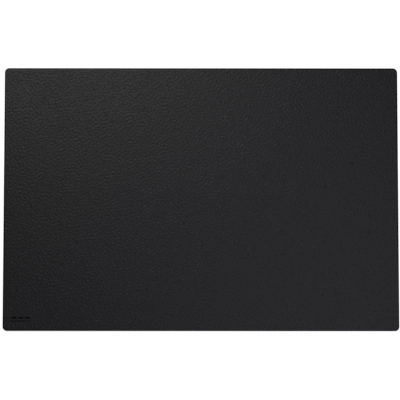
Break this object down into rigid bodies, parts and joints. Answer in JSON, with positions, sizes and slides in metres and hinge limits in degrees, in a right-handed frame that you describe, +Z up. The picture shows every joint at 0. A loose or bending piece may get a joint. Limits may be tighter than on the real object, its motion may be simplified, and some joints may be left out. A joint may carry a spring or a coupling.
{
  "type": "self-healing cutting mat",
  "caption": "Plain black rectangular cutting mat with rounded corners, a fine leather-grained soft cutting face and a rigid core, for leathercraft on a bench.",
  "frame": {"origin": "centre of the underside, on the surface that the mat lies on", "axes": "+X along the long side, +Y along the short side away from the user, +Z up out of the cutting face"},
  "size_m": [0.45, 0.3, 0.003],
  "materials": {
    "healing_skin_top": "matte",
    "healing_skin_bottom": "matte",
    "bonding_film": "satin",
    "rigid_core": "matte"
  },
  "bodies": {
    "root": {"bottom_healing_layer": "healing_skin_bottom", "lower_film": "bonding_film", "core_sheet": "rigid_core", "upper_film": "bonding_film", "top_healing_layer": "healing_skin_top"}
  },
  "joints": []
}
